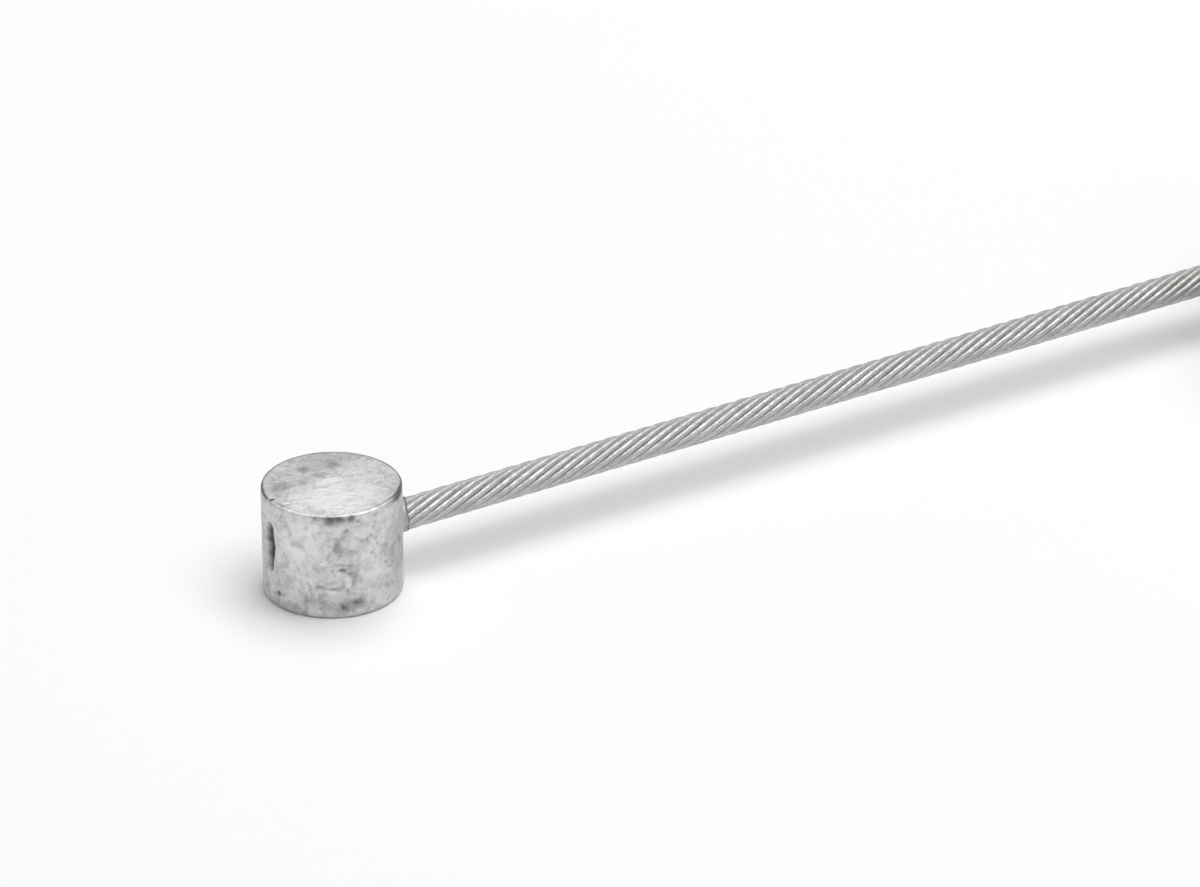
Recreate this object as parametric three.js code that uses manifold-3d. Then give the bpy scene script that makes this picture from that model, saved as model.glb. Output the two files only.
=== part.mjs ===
// Inner cable of a bicycle brake: a zinc barrel head, die-cast round one end of a steel strand.
// Millimetres, +Z up. The head stands on its foot round the Z axis, with the foot's centre at the
// origin, and the strand leaves the head along +X. The length that isn't laid out is wound into a
// tied round coil, which lies on the same floor, and ends in the strand's fused tip.

import * as THREE from 'three';
import { mergeVertices } from 'three/addons/utils/BufferGeometryUtils.js';
import Module from 'manifold-3d';

// Head: the cast barrel that drops into the brake lever's round seat.
const HEAD_DIAMETER = 7.0;
const HEAD_HEIGHT = 5.75;
const TOP_EDGE_RADIUS = 0.12;
const FOOT_EDGE_RADIUS = 0.25;

// Strand: steel wires laid round each other. Its length runs from the head to the fused tip.
const STRAND_DIAMETER = 1.6;
const STRAND_LENGTH = 1700;
const EXIT_BELOW_MIDDLE = 0.055;

// Collar: the thin skin of zinc that ran out along the strand. Its end face is slanted.
const COLLAR_WALL = 0.1;
const COLLAR_LENGTH = 1.15;
const COLLAR_SLANT = 0.4;

// Gate recess: the upright slot that the casting's runner left, opposite the strand.
const RECESS_WIDTH = 0.7;
const RECESS_HEIGHT = 2.5;
const RECESS_DEPTH = 0.5;
const RECESS_ABOVE_EXIT = 0.48;

// Lead: the stretch from the collar to the coil. It is straight as far as it is seen, and then
// sweeps sideways and down to the coil's first turn: shares of the way along and of the way over.
const LEAD_STRAIGHT = 51;
const LEAD_SWEEP = 12;
const SIDE_STEP = 2.0;
const SWEEP_SHARES = [
  [0.17, 0.04],
  [0.375, 0.26],
  [0.585, 0.56],
  [0.79, 0.84],
  [1, 1],
];

// Coil: turns beside and on each other, wound inwards and outwards layer by layer.
const COIL_TURNS = 25.25;
const COIL_LAYERS = 6;

// Tail: the end of the strand, which climbs onto the coil and lies there, tip included.
const TAIL_LENGTH = 43;
const TAIL_CLIMB = 17;
const TIP_LENGTH = 4.5;
const TIP_SWELL = 0.05;

// Ties: nylon straps round the coil's bundle, each with a small lock and a cut end. The first is
// so many degrees of the coil past the tail's climb, and the second so many degrees from it.
const TIE_WIDTH = 2.5;
const TIE_THICKNESS = 0.5;
const TIE_CORNER_RADIUS = 0.9;
const TIE_PAST_CLIMB_DEGREES = 12;
const TIE_SPREAD_DEGREES = 160;
const LOCK_LENGTH = 3.2;
const LOCK_WIDTH = 3.3;
const LOCK_HEIGHT = 2.3;
const CUT_END_LENGTH = 1.1;
const CUT_END_WIDTH = 1.8;

// Clearances between pieces that touch on the real cable.
const CORD_GAP = 0.3;
const TIE_GAP = 0.3;

// How finely round forms are divided.
const HEAD_SIDES = 72;
const COIL_SIDES = 60;
const STRAND_SIDES = 8;
const STEPS_PER_ARC = 4;
const STRAIGHT_STEPS = 12;
const STEP_IN_DIAMETERS = 2.5;

const headRadius = HEAD_DIAMETER / 2;
const strandRadius = STRAND_DIAMETER / 2;
const exitHeight = HEAD_HEIGHT / 2 - EXIT_BELOW_MIDDLE;
const collarEnd = headRadius + COLLAR_LENGTH;
const collarRadius = strandRadius + COLLAR_WALL;
const coilFloor = TIE_THICKNESS + TIE_GAP;
const coilHeight = COIL_LAYERS * STRAND_DIAMETER;
const firstTurnHeight = coilFloor + strandRadius;

const wasm = await Module();
wasm.setup();

// A mesh whose shared corners are one point and that has no triangle without area.
function closed(geometry) {
  const bare = geometry.clone();
  bare.deleteAttribute('normal');
  bare.deleteAttribute('uv');
  const merged = mergeVertices(bare, 1e-4);
  const corners = merged.index.array;
  const kept = [];
  for (let i = 0; i < corners.length; i += 3) {
    const [a, b, c] = corners.slice(i, i + 3);
    if (a !== b && b !== c && c !== a) {
      kept.push(a, b, c);
    }
  }
  merged.setIndex(kept);
  merged.computeVertexNormals();
  return merged;
}

function toSolid(geometry) {
  const mesh = closed(geometry);
  return new wasm.Manifold(new wasm.Mesh({
    numProp: 3,
    vertProperties: new Float32Array(mesh.attributes.position.array),
    triVerts: new Uint32Array(mesh.index.array),
  }));
}

function toGeometry(solid) {
  const mesh = solid.getMesh();
  const geometry = new THREE.BufferGeometry();
  geometry.setAttribute('position', new THREE.BufferAttribute(mesh.vertProperties, 3));
  geometry.setIndex(new THREE.BufferAttribute(mesh.triVerts, 1));
  geometry.computeVertexNormals();
  return geometry;
}

// Points of a quarter or other arc in a profile, from one angle to another.
function arc(x, y, radius, from, to) {
  return Array.from({ length: STEPS_PER_ARC + 1 }, (_, i) => {
    const angle = from + ((to - from) * i) / STEPS_PER_ARC;
    return new THREE.Vector2(x + radius * Math.cos(angle), y + radius * Math.sin(angle));
  });
}

// A profile of radius and height, turned about the Z axis.
function turned(profile, sides) {
  return new THREE.LatheGeometry(profile, sides).rotateX(Math.PI / 2);
}

// A round section of few sides, carried along a curve.
function tube(curve, radius) {
  const section = new THREE.Shape();
  for (let i = 0; i < STRAND_SIDES; i += 1) {
    const angle = (2 * Math.PI * i) / STRAND_SIDES;
    const [x, y] = [radius * Math.cos(angle), radius * Math.sin(angle)];
    if (i === 0) {
      section.moveTo(x, y);
    } else {
      section.lineTo(x, y);
    }
  }
  const steps = Math.max(2, Math.round(curve.getLength() / (STEP_IN_DIAMETERS * STRAND_DIAMETER)));
  return new THREE.ExtrudeGeometry(section, { steps, extrudePath: curve, bevelEnabled: false });
}

// The cast head: a turned barrel with its collar joined on and the gate recess cut in.
function headGeometry() {
  const barrel = toSolid(turned([
    new THREE.Vector2(0, 0),
    ...arc(headRadius - FOOT_EDGE_RADIUS, FOOT_EDGE_RADIUS, FOOT_EDGE_RADIUS, -Math.PI / 2, 0),
    ...arc(headRadius - TOP_EDGE_RADIUS, HEAD_HEIGHT - TOP_EDGE_RADIUS, TOP_EDGE_RADIUS, 0, Math.PI / 2),
    new THREE.Vector2(0, HEAD_HEIGHT),
  ], HEAD_SIDES));
  return toGeometry(barrel.add(toSolid(collarGeometry())).subtract(toSolid(recessGeometry())));
}

// A round bar from the middle of the barrel to the collar's end, which is cut off on a slant.
function collarGeometry() {
  const collar = new THREE.CylinderGeometry(collarRadius, collarRadius, collarEnd, 2 * STRAND_SIDES);
  collar.rotateZ(-Math.PI / 2);
  collar.translate(collarEnd / 2, 0, exitHeight);
  const position = collar.attributes.position;
  for (let i = 0; i < position.count; i += 1) {
    if (position.getX(i) > headRadius) {
      position.setX(i, collarEnd - COLLAR_SLANT * (collarRadius - position.getY(i)));
    }
  }
  return collar;
}

// An upright slot with round ends, as deep as the recess below the barrel's wall at -X.
function recessGeometry() {
  const half = RECESS_WIDTH / 2;
  const straight = RECESS_HEIGHT / 2 - half;
  const outline = new THREE.Shape([
    ...arc(0, straight, half, 0, Math.PI),
    ...arc(0, -straight, half, Math.PI, 2 * Math.PI),
  ]);
  const slot = new THREE.ExtrudeGeometry(outline, { depth: headRadius, bevelEnabled: false });
  slot.applyMatrix4(new THREE.Matrix4().makeBasis(
    new THREE.Vector3(0, -1, 0),
    new THREE.Vector3(0, 0, 1),
    new THREE.Vector3(-1, 0, 0),
  ));
  slot.translate(RECESS_DEPTH - headRadius, 0, exitHeight + RECESS_ABOVE_EXIT);
  return slot;
}

// The strand's route from the collar's longer side to the coil's outermost turn.
function leadRoute() {
  const straight = Array.from({ length: STRAIGHT_STEPS + 1 }, (_, i) => [
    (LEAD_STRAIGHT * i) / STRAIGHT_STEPS,
    0,
  ]);
  const sweep = SWEEP_SHARES.map(([along, over]) => [LEAD_STRAIGHT + LEAD_SWEEP * along, over]);
  return new THREE.CatmullRomCurve3([...straight, ...sweep].map(([along, over]) => new THREE.Vector3(
    collarEnd + along,
    over * SIDE_STEP,
    exitHeight + over * (firstTurnHeight - exitHeight),
  )));
}

const lead = leadRoute();
const leadEnd = lead.getPoint(1);

// The turns take up what the lead and the tail leave of the strand's length.
const turnsPerLayer = COIL_TURNS / COIL_LAYERS;
const woundLength = STRAND_LENGTH - lead.getLength() - TAIL_LENGTH;
const middleTurn = woundLength / (2 * Math.PI * COIL_TURNS);
const outerTurn = middleTurn + (turnsPerLayer * STRAND_DIAMETER) / 2;
const innerTurn = middleTurn - (turnsPerLayer * STRAND_DIAMETER) / 2;
const coilOuter = outerTurn + strandRadius;
const coilInner = innerTurn - strandRadius;
const coilCentre = new THREE.Vector3(leadEnd.x, leadEnd.y - outerTurn, 0);

// The stretch of the lead that lies clear of the coil, short of the collar and the coil by a gap.
function leadGeometry() {
  const clear = coilOuter + strandRadius + CORD_GAP;
  const spaced = lead.getSpacedPoints(Math.ceil(lead.getLength() / CORD_GAP));
  const points = spaced.filter((point) => (
    Math.hypot(point.x - coilCentre.x, point.y - coilCentre.y) > clear
    && point.x > collarEnd + CORD_GAP
  ));
  points.unshift(new THREE.Vector3(collarEnd + CORD_GAP, 0, exitHeight));
  return tube(new THREE.CatmullRomCurve3(points), strandRadius);
}

// The coil's outer form: a ring whose section is its bundle of turns, rounded by the outer ones.
function coilGeometry() {
  const [low, high] = [coilFloor + strandRadius, coilFloor + coilHeight - strandRadius];
  const profile = [
    ...arc(outerTurn, low, strandRadius, -Math.PI / 2, 0),
    ...arc(outerTurn, high, strandRadius, 0, Math.PI / 2),
    ...arc(innerTurn, high, strandRadius, Math.PI / 2, Math.PI),
    ...arc(innerTurn, low, strandRadius, Math.PI, 1.5 * Math.PI),
  ];
  return turned([...profile, profile[0].clone()], COIL_SIDES).translate(coilCentre.x, coilCentre.y, 0);
}

// The tail goes on clockwise, seen from above, from where the last turn ends.
const lastTurnAngle = Math.PI / 2 - 2 * Math.PI * COIL_TURNS;
const tailHeight = coilFloor + coilHeight + CORD_GAP + strandRadius;

function tailPoint(travelled) {
  const turn = travelled / outerTurn;
  const radius = outerTurn - (STRAND_DIAMETER * turn) / (2 * Math.PI);
  const angle = lastTurnAngle - turn;
  return new THREE.Vector3(radius * Math.cos(angle), radius * Math.sin(angle), tailHeight).add(coilCentre);
}

function tailCurve() {
  const points = [];
  const length = TAIL_LENGTH - TIP_LENGTH - TAIL_CLIMB;
  const steps = Math.ceil(length / STRAND_DIAMETER);
  for (let i = 0; i <= steps; i += 1) {
    points.push(tailPoint(TAIL_CLIMB + (length * i) / steps));
  }
  return new THREE.CatmullRomCurve3(points);
}

// The fused tip: wires melted into one short round bar with a domed end, in line with the tail.
function tipGeometry() {
  const radius = strandRadius + TIP_SWELL;
  const straight = TIP_LENGTH - CORD_GAP - radius;
  const tip = turned([
    new THREE.Vector2(0, 0),
    new THREE.Vector2(radius, 0),
    ...arc(0, straight, radius, 0, Math.PI / 2).slice(0, -1),
    new THREE.Vector2(0, straight + radius),
  ], 2 * STRAND_SIDES);
  const tail = tailCurve();
  const along = tail.getTangent(1);
  tip.applyQuaternion(new THREE.Quaternion().setFromUnitVectors(new THREE.Vector3(0, 0, 1), along));
  const start = tail.getPoint(1).addScaledVector(along, CORD_GAP);
  return tip.translate(start.x, start.y, start.z);
}

// An outline moved outwards by a distance, each side by itself. It runs anticlockwise.
function widened(outline, distance) {
  return outline.map((point, i) => {
    const before = outline[(i + outline.length - 1) % outline.length];
    const after = outline[(i + 1) % outline.length];
    const arriving = point.clone().sub(before).normalize();
    const leaving = after.clone().sub(point).normalize();
    const outwards = new THREE.Vector2(arriving.y + leaving.y, -arriving.x - leaving.x).normalize();
    const across = new THREE.Vector2(arriving.y, -arriving.x).dot(outwards);
    return point.clone().addScaledVector(outwards, distance / across);
  });
}

// A closed path along an outline with its corners rounded.
function roundedPath(path, outline, radius) {
  outline.forEach((corner, i) => {
    const before = outline[(i + outline.length - 1) % outline.length];
    const after = outline[(i + 1) % outline.length];
    const start = corner.clone().addScaledVector(before.clone().sub(corner).normalize(), radius);
    const end = corner.clone().addScaledVector(after.clone().sub(corner).normalize(), radius);
    if (i === 0) {
      path.moveTo(start.x, start.y);
    } else {
      path.lineTo(start.x, start.y);
    }
    path.quadraticCurveTo(corner.x, corner.y, end.x, end.y);
  });
  path.closePath();
  return path;
}

// One tie in its own plane of radius and height, where rise is what lies on the coil under it.
function tieGeometry(angle, rise) {
  const inside = Math.sqrt(coilInner ** 2 - (TIE_WIDTH / 2) ** 2) - TIE_GAP;
  const outside = coilOuter + TIE_GAP;
  const top = coilFloor + coilHeight + TIE_GAP;
  const opening = [
    new THREE.Vector2(inside, coilFloor - TIE_GAP),
    new THREE.Vector2(outside, coilFloor - TIE_GAP),
    new THREE.Vector2(outside, top + rise),
    new THREE.Vector2(outside - STRAND_DIAMETER - 4 * TIE_GAP, top + rise),
    new THREE.Vector2(inside, top),
  ];
  const strap = roundedPath(new THREE.Shape(), widened(opening, TIE_THICKNESS), TIE_CORNER_RADIUS);
  strap.holes.push(roundedPath(new THREE.Path(), opening, TIE_CORNER_RADIUS - TIE_THICKNESS));
  const options = { depth: TIE_WIDTH, bevelEnabled: false, curveSegments: STEPS_PER_ARC };
  const loop = new THREE.ExtrudeGeometry(strap, options).translate(0, 0, -TIE_WIDTH / 2);
  const lock = new THREE.BoxGeometry(LOCK_LENGTH, LOCK_HEIGHT, LOCK_WIDTH);
  lock.translate(inside + LOCK_LENGTH / 2, top + LOCK_HEIGHT / 2 + TIE_GAP / 2, 0);
  const cutEnd = new THREE.BoxGeometry(2 * CUT_END_LENGTH, TIE_THICKNESS, CUT_END_WIDTH);
  cutEnd.translate(inside, top + LOCK_HEIGHT - TIE_THICKNESS, 0);
  const tie = toGeometry(toSolid(loop).add(toSolid(lock)).add(toSolid(cutEnd)));
  tie.applyMatrix4(new THREE.Matrix4().makeBasis(
    new THREE.Vector3(Math.cos(angle), Math.sin(angle), 0),
    new THREE.Vector3(0, 0, 1),
    new THREE.Vector3(Math.sin(angle), -Math.cos(angle), 0),
  ));
  return tie.translate(coilCentre.x, coilCentre.y, 0);
}

const zinc = new THREE.MeshStandardMaterial({ color: 0xbcbbb9, roughness: 0.55, metalness: 0.6 });
const steel = new THREE.MeshStandardMaterial({ color: 0xa3a3a0, roughness: 0.35, metalness: 0.9 });
const nylon = new THREE.MeshStandardMaterial({ color: 0xe6e4dc, roughness: 0.5, metalness: 0 });

function piece(name, geometry, material) {
  const mesh = new THREE.Mesh(geometry, material);
  mesh.name = name;
  return mesh;
}

// The first tie holds the tail down just past its climb, and the second holds the turns only.
const climbEndAngle = lastTurnAngle - TAIL_CLIMB / outerTurn;
const firstTieAngle = climbEndAngle - THREE.MathUtils.degToRad(TIE_PAST_CLIMB_DEGREES);
const secondTieAngle = firstTieAngle + THREE.MathUtils.degToRad(TIE_SPREAD_DEGREES);

const cable = new THREE.Group();
cable.add(piece('barrel_head', headGeometry(), zinc));
cable.add(piece('strand_lead', closed(leadGeometry()), steel));
cable.add(piece('strand_coil', closed(coilGeometry()), steel));
cable.add(piece('strand_tail', closed(tube(tailCurve(), strandRadius)), steel));
cable.add(piece('fused_tip', closed(tipGeometry()), steel));
cable.add(piece('coil_tie_1', tieGeometry(firstTieAngle, STRAND_DIAMETER + CORD_GAP), nylon));
cable.add(piece('coil_tie_2', tieGeometry(secondTieAngle, 0), nylon));

export default cable;
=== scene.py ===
import math

import bpy
import numpy as np
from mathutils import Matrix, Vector


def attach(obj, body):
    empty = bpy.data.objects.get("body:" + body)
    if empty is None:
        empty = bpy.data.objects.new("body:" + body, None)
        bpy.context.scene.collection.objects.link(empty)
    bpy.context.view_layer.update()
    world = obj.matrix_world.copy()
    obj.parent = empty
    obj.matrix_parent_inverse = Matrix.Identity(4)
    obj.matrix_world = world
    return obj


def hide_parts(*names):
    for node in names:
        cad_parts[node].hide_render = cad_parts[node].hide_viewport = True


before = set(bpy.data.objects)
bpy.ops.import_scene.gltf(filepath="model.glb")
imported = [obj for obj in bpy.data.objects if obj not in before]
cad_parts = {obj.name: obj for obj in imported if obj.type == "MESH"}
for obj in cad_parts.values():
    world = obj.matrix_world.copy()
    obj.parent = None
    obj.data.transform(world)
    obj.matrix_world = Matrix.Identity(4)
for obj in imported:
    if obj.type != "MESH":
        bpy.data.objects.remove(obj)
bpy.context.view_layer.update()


# Camera: a long lens that looks down on the head from its front left, so that the strand runs off
# to the upper right. Its place, direction and lens were fitted to the outlines in the photograph.
CAMERA_PLACE = (-0.13681, -0.24180, 0.15316)
CAMERA_DIRECTION = (0.47245, 0.74952, -0.46369)
CAMERA_LENS = 191.79
CAMERA_SENSOR_WIDTH = 36
NEAREST_SEEN = 0.01

camera = bpy.data.objects.new("camera", bpy.data.cameras.new("camera"))
camera.location = CAMERA_PLACE
camera.rotation_mode = "QUATERNION"
camera.rotation_quaternion = Vector(CAMERA_DIRECTION).to_track_quat("-Z", "Y")
camera.data.lens = CAMERA_LENS
camera.data.sensor_width = CAMERA_SENSOR_WIDTH
camera.data.clip_start = NEAREST_SEEN
bpy.context.scene.collection.objects.link(camera)
bpy.context.scene.camera = camera


# Strand: twelve drawn and galvanised steel wires, laid to the left round a core that they hide.
# It is one length from the head to the fused tip: straight where it is seen, then wound inwards
# and outwards into a coil, layer on layer, with its last stretch laid on top.
MM = 0.001
STRAND_DIAMETER = 1.6 * MM
STRAND_LENGTH = 1700 * MM
EXIT_HEIGHT = 2.82 * MM
COLLAR_END = 4.65 * MM
# The wires begin inside the head's wall, under the collar.
STRAND_START = 3.4 * MM

LEAD_STRAIGHT = 51 * MM
LEAD_SWEEP = 12 * MM
SIDE_STEP = 2.0 * MM
SWEEP_SHARES = [(0.17, 0.04), (0.375, 0.26), (0.585, 0.56), (0.79, 0.84), (1, 1)]
STRAIGHT_POINTS = 13
LEAD_STEP = 0.1 * MM

COIL_TURNS = 25.25
COIL_LAYERS = 6
COIL_FLOOR = 0.8 * MM
LAYER_CHANGE_IN_TURNS = 150 / 360
COIL_POINTS = 25000
EASED_POINTS = 83
TAIL_LENGTH = 43 * MM
TAIL_CLIMB = 17 * MM
TAIL_POINTS = 400
TIP_LENGTH = 4.5 * MM

OUTER_WIRES = 12
POINTS_PER_WIRE = 4
WIRE_CIRCLE = 0.64 * MM
WIRE_PITCH = 12 * MM
SEEN_RING_STEP = 0.3 * MM
COILED_RING_STEP = 0.95 * MM

LIGHT_STEEL = (0.72, 0.72, 0.71, 1)
DARK_STEEL = (0.54, 0.54, 0.53, 1)
DULL_SPOT = (0.36, 0.35, 0.33, 1)
DULL_GRAIN = (0.42, 0.415, 0.40, 1)
# The darkest colour: painted shade in the strand's grooves, and dirt and painted shade on the zinc.
DIRT_AND_SHADE = (0.10, 0.098, 0.09, 1)

strand_radius = STRAND_DIAMETER / 2
first_turn_height = COIL_FLOOR + strand_radius
turns_per_layer = COIL_TURNS / COIL_LAYERS
last_turn_angle = math.pi / 2 - 2 * math.pi * COIL_TURNS


def smooth_step(share):
    """Goes from 0 to 1 as the share does, level at both ends: 3 share^2 - 2 share^3."""
    share = np.clip(share, 0, 1)
    return share**2 * (3 - 2 * share)


def smooth_route(points, last_direction, step):
    """Points about every step along a smooth curve through given points. Between two of them
    it is the cubic that has those ends and leaves each along the mean direction of its two
    sides, over the straight distance between them."""
    chord = np.linalg.norm(np.diff(points, axis=0), axis=1)
    travelled = np.concatenate([[0], np.cumsum(chord)])
    slope = np.gradient(points, travelled, axis=0)
    slope[-1] = last_direction
    wanted = np.linspace(0, travelled[-1], round(travelled[-1] / step) + 1)
    before = np.clip(np.searchsorted(travelled, wanted, side="right") - 1, 0, len(chord) - 1)
    reach = chord[before, None]
    share = (wanted - travelled[before])[:, None] / reach
    return (
        (1 + 2 * share) * (1 - share) ** 2 * points[before]
        + share * (1 - share) ** 2 * reach * slope[before]
        + share**2 * (3 - 2 * share) * points[before + 1]
        + share**2 * (share - 1) * reach * slope[before + 1]
    )


def lead_route():
    """The straight stretch out of the head, then the sweep sideways and down to the coil."""
    straight = np.linspace(0, LEAD_STRAIGHT, STRAIGHT_POINTS)
    swept_along, swept_over = np.transpose(SWEEP_SHARES)
    along = np.concatenate([straight, LEAD_STRAIGHT + LEAD_SWEEP * swept_along])
    over = np.concatenate([0 * straight, swept_over])
    drop = first_turn_height - EXIT_HEIGHT
    points = np.stack([COLLAR_END + along, SIDE_STEP * over, EXIT_HEIGHT + drop * over], axis=1)
    start = np.array([[STRAND_START, 0, EXIT_HEIGHT]])
    return smooth_route(np.vstack([start, points]), (1, 0, 0), LEAD_STEP)


def distance_along(points):
    """How far each point lies along the line through all of them."""
    return np.concatenate([[0], np.cumsum(np.linalg.norm(np.diff(points, axis=0), axis=1))])


# The turns take up what the lead and the tail leave of the strand's length.
lead = lead_route()
wound_length = STRAND_LENGTH - TAIL_LENGTH - (distance_along(lead)[-1] + STRAND_START - COLLAR_END)
middle_turn = wound_length / (2 * math.pi * COIL_TURNS)
outer_turn = middle_turn + turns_per_layer * STRAND_DIAMETER / 2
inner_turn = middle_turn - turns_per_layer * STRAND_DIAMETER / 2
coil_centre = np.array([lead[-1, 0], lead[-1, 1] - outer_turn, 0])


def coil_route():
    """Turns clockwise seen from above. The radius falls by one diameter a turn in even layers and
    rises by one in odd ones, averaged over a few points to ease its turning back. Each change of
    layer lifts the strand by one diameter over the 150 degrees round it."""
    turn = np.linspace(0, COIL_TURNS, COIL_POINTS)
    layer = np.minimum(turn // turns_per_layer, COIL_LAYERS - 1)
    wound = STRAND_DIAMETER * (turn - layer * turns_per_layer)
    radius = np.where(layer % 2 == 0, outer_turn - wound, inner_turn + wound)
    padded = np.pad(radius, EASED_POINTS // 2, mode="reflect", reflect_type="odd")
    radius = np.convolve(padded, np.ones(EASED_POINTS) / EASED_POINTS, "valid")
    changes = turns_per_layer * np.arange(1, COIL_LAYERS)
    climbs = smooth_step((turn[:, None] - changes) / LAYER_CHANGE_IN_TURNS + 0.5).sum(axis=1)
    angle = math.pi / 2 - 2 * math.pi * turn
    height = first_turn_height + STRAND_DIAMETER * climbs
    return np.stack([radius * np.cos(angle), radius * np.sin(angle), height], axis=1) + coil_centre


def tail_route():
    """Goes on round the coil from its last turn. It climbs one diameter onto the coil along the
    tail's climb, level at both ends, and draws in by one diameter a turn."""
    travelled = np.linspace(0, TAIL_LENGTH - TIP_LENGTH, TAIL_POINTS)
    turned = travelled / outer_turn
    radius = outer_turn - STRAND_DIAMETER * turned / (2 * math.pi)
    angle = last_turn_angle - turned
    climbs = COIL_LAYERS - 1 + smooth_step(travelled / TAIL_CLIMB)
    height = first_turn_height + STRAND_DIAMETER * climbs
    return np.stack([radius * np.cos(angle), radius * np.sin(angle), height], axis=1) + coil_centre


def strand_path():
    """Ring centres along lead, coil and tail: close together where the wires are seen from near,
    and further apart in the coil."""
    line = np.vstack([lead, coil_route()[1:], tail_route()[1:]])
    travelled = distance_along(line)
    seen = LEAD_STRAIGHT + LEAD_SWEEP
    stations = np.concatenate([
        np.linspace(0, seen, round(seen / SEEN_RING_STEP), endpoint=False),
        np.linspace(seen, travelled[-1], round((travelled[-1] - seen) / COILED_RING_STEP)),
    ])
    return np.stack([np.interp(stations, travelled, line[:, axis]) for axis in range(3)], axis=1)


def unit(vectors):
    """Each vector divided by its own length."""
    return vectors / np.linalg.norm(vectors, axis=-1, keepdims=True)


def ring_skin(name, rings, looped=False):
    """A closed mesh over rings of points, an array of rings by points by 3. Each point is joined to
    the next on its ring and to its like on the next ring. Both ends are closed by a fan round
    the mean of the end ring or, where it is looped, the last ring is joined to the first."""
    count, sides = rings.shape[:2]
    here = np.arange(count * sides).reshape(count, sides)
    beside = np.roll(here, -1, axis=1)
    points = rings.reshape(-1, 3)
    if looped:
        ahead, ahead_beside = np.roll(here, -1, axis=0), np.roll(beside, -1, axis=0)
        faces = np.stack([here, beside, ahead_beside, ahead], axis=-1).reshape(-1, 4).tolist()
    else:
        faces = np.stack([here[:-1], beside[:-1], beside[1:], here[1:]], axis=-1)
        faces = faces.reshape(-1, 4).tolist()
        first, last = np.full(sides, len(points)), np.full(sides, len(points) + 1)
        faces += np.stack([first, beside[0], here[0]], axis=1).tolist()
        faces += np.stack([last, here[-1], beside[-1]], axis=1).tolist()
        points = np.vstack([points, rings[0].mean(axis=0), rings[-1].mean(axis=0)])
    mesh = bpy.data.meshes.new(name)
    mesh.from_pydata(points.tolist(), [], faces)
    mesh.shade_smooth()
    piece = bpy.data.objects.new(name, mesh)
    bpy.context.scene.collection.objects.link(piece)
    return piece


def lay_uv(piece, around, along):
    """A UV map for a ring skin: u is the place round the ring, given for each point and once more
    for the first, and v is the place along it, given for each ring."""
    low = np.broadcast_to(along[:-1, None], (len(along) - 1, len(around) - 1))
    high = np.broadcast_to(along[1:, None], low.shape)
    left = np.broadcast_to(around[:-1], low.shape)
    right = np.broadcast_to(around[1:], low.shape)
    quads = np.stack([left, low, right, low, right, high, left, high], axis=-1).reshape(-1, 2)
    fan = np.stack([around[:-1], around[1:], around[:-1]], axis=1).reshape(-1)
    start = np.stack([fan, np.full(len(fan), along[0])], axis=1)
    end = np.stack([fan, np.full(len(fan), along[-1])], axis=1)
    layer = piece.data.uv_layers.new(name="around_and_along")
    layer.uv.foreach_set("vector", np.vstack([quads, start, end]).astype(np.float32).ravel())


def strand_rings(path):
    """The outline of twelve touching round wires, carried along the path and turned by one whole
    turn a pitch. Each wire shows the 210 degrees of itself that face outwards."""
    wire_radius = WIRE_CIRCLE * math.sin(math.pi / OUTER_WIRES)
    wire = np.repeat(np.arange(OUTER_WIRES), POINTS_PER_WIRE) * 2 * math.pi / OUTER_WIRES
    shown = math.pi + 2 * math.pi / OUTER_WIRES
    own = np.tile(np.arange(POINTS_PER_WIRE) / POINTS_PER_WIRE - 0.5, OUTER_WIRES) * shown
    across = WIRE_CIRCLE * np.cos(wire) + wire_radius * np.cos(wire + own)
    up = WIRE_CIRCLE * np.sin(wire) + wire_radius * np.sin(wire + own)
    travelled = distance_along(path)
    lay = -2 * math.pi * travelled[:, None] / WIRE_PITCH
    forward = unit(np.gradient(path, travelled, axis=0))
    sideways = unit(np.cross(forward, (0, 0, 1)))
    upwards = np.cross(forward, sideways)
    turned_across = across * np.cos(lay) - up * np.sin(lay)
    turned_up = across * np.sin(lay) + up * np.cos(lay)
    return (
        path[:, None]
        + turned_across[..., None] * sideways[:, None]
        + turned_up[..., None] * upwards[:, None]
    )


def place(tree, kind, values, **settings):
    """Adds a node. Each value is a plain one for its socket, or another node's output to link."""
    node = tree.nodes.new(kind)
    for name, value in settings.items():
        setattr(node, name, value)
    for socket, value in values.items():
        if isinstance(value, bpy.types.NodeSocket):
            tree.links.new(value, node.inputs[socket])
        else:
            node.inputs[socket].default_value = value
    return node


def blend(tree, factor, first, second):
    """The colour that lies between two colours by a factor."""
    return place(tree, "ShaderNodeMix", {0: factor, 6: first, 7: second}, data_type="RGBA").outputs[2]


def sum_up(tree, operation, first, second=0.0, clamped=False):
    """One sum on two numbers, which may be held between 0 and 1."""
    return place(tree, "ShaderNodeMath", {0: first, 1: second}, operation=operation,
                 use_clamp=clamped).outputs[0]


def scaled(tree, value, times, plus=0.0):
    """A number times one plain number, plus another."""
    return place(tree, "ShaderNodeMath", {0: value, 1: times, 2: plus},
                 operation="MULTIPLY_ADD").outputs[0]


def raise_skin(tree, shader, height, strength, distance):
    """Shades a surface as if its skin rose by a distance where the height is 1."""
    bump = place(tree, "ShaderNodeBump", {"Height": height, "Strength": strength, "Distance": distance})
    tree.links.new(bump.outputs[0], shader.inputs["Normal"])


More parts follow.
